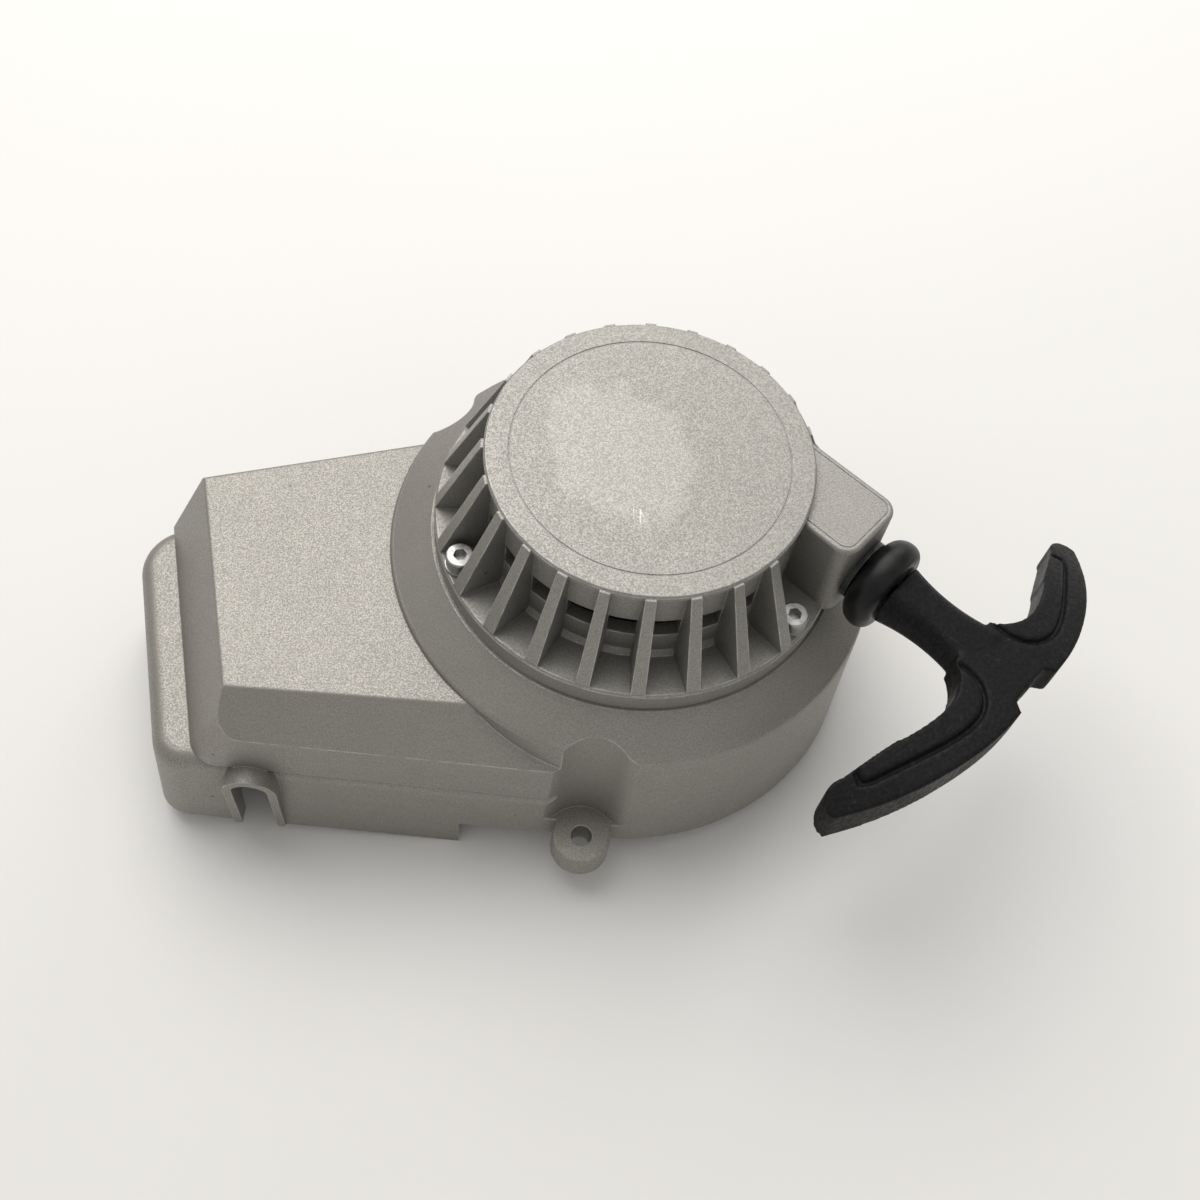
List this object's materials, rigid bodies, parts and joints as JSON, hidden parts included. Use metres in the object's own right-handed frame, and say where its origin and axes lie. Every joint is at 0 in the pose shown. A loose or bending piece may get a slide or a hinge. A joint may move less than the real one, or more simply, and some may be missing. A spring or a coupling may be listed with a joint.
{
  "type": "recoil starter",
  "caption": "Pull-cord starter for a small engine: ribbed cap on a fan shroud with an air duct, rope reel, spiral spring and T handle.",
  "frame": {"origin": "crankshaft axis on the mounting face, the centre of the circle of the three mounting holes", "axes": "+Z outwards along the crankshaft through the cap, -X along the air duct"},
  "size_m": [0.2413, 0.1533, 0.0948],
  "materials": {
    "cast_aluminium": "silver-grey paint over a die casting, fine grain",
    "cap_aluminium": "silver-grey paint, worn paler on the crown",
    "zinc_steel": "bright zinc plate",
    "guide_bush": "black acetal",
    "guide_bronze": "oiled sintered bronze",
    "spring_steel": "blued spring steel, greased",
    "reel_nylon": "dark grey moulded nylon",
    "rope": "black braided starter cord",
    "cup_steel": "pressed steel, yellow-tinged zinc plate",
    "black_rubber": "smooth black rubber, slight sheen",
    "black_plastic": "black moulded plastic with an open grain"
  },
  "bodies": {
    "housing": {"fan_housing": "cast_aluminium", "starter_cap": "cap_aluminium", "cap_screw_1": "zinc_steel", "cap_screw_2": "zinc_steel", "cap_screw_3": "zinc_steel", "spring_washer_1": "zinc_steel", "spring_washer_2": "zinc_steel", "spring_washer_3": "zinc_steel", "rope_guide": "guide_bush", "spring_plate": "zinc_steel", "spring_anchor_pin": "zinc_steel", "post_bush": "guide_bronze", "reel_washer": "zinc_steel", "reel_screw": "zinc_steel", "recoil_spring": "spring_steel"},
    "reel": {"reel": "reel_nylon", "rope_winding": "rope", "reel_knot": "rope", "catch_cup": "cup_steel", "cup_rivets": "zinc_steel"},
    "rope_end": {"rope_lead": "rope", "handle_knot": "rope", "handle_washer": "zinc_steel", "handle_collar": "black_rubber"},
    "handle": {"handle": "black_plastic"}
  },
  "joints": [
    {"name": "handle_pull", "type": "slide", "parent": "housing", "child": "rope_end", "axis": [0.5948, -0.8039, 0], "range_m": [0, 0.54], "stiffness_N_per_m": 12, "springref_m": -0.5},
    {"name": "handle_twist", "type": "hinge", "parent": "rope_end", "child": "handle", "pos_m": [0.05972, -0.04289, 0.066], "axis": [0.5948, -0.8039, 0], "range_deg": [-180, 180]},
    {"name": "reel_spin", "type": "hinge", "parent": "housing", "child": "reel", "pos_m": [0, 0, 0.066], "axis": [0, 0, 1], "range_deg": [-1400, 0]}
  ],
  "couplings": [
    {"joint": "reel_spin", "follows": "handle_pull", "rad_per_m": -44.444}
  ]
}
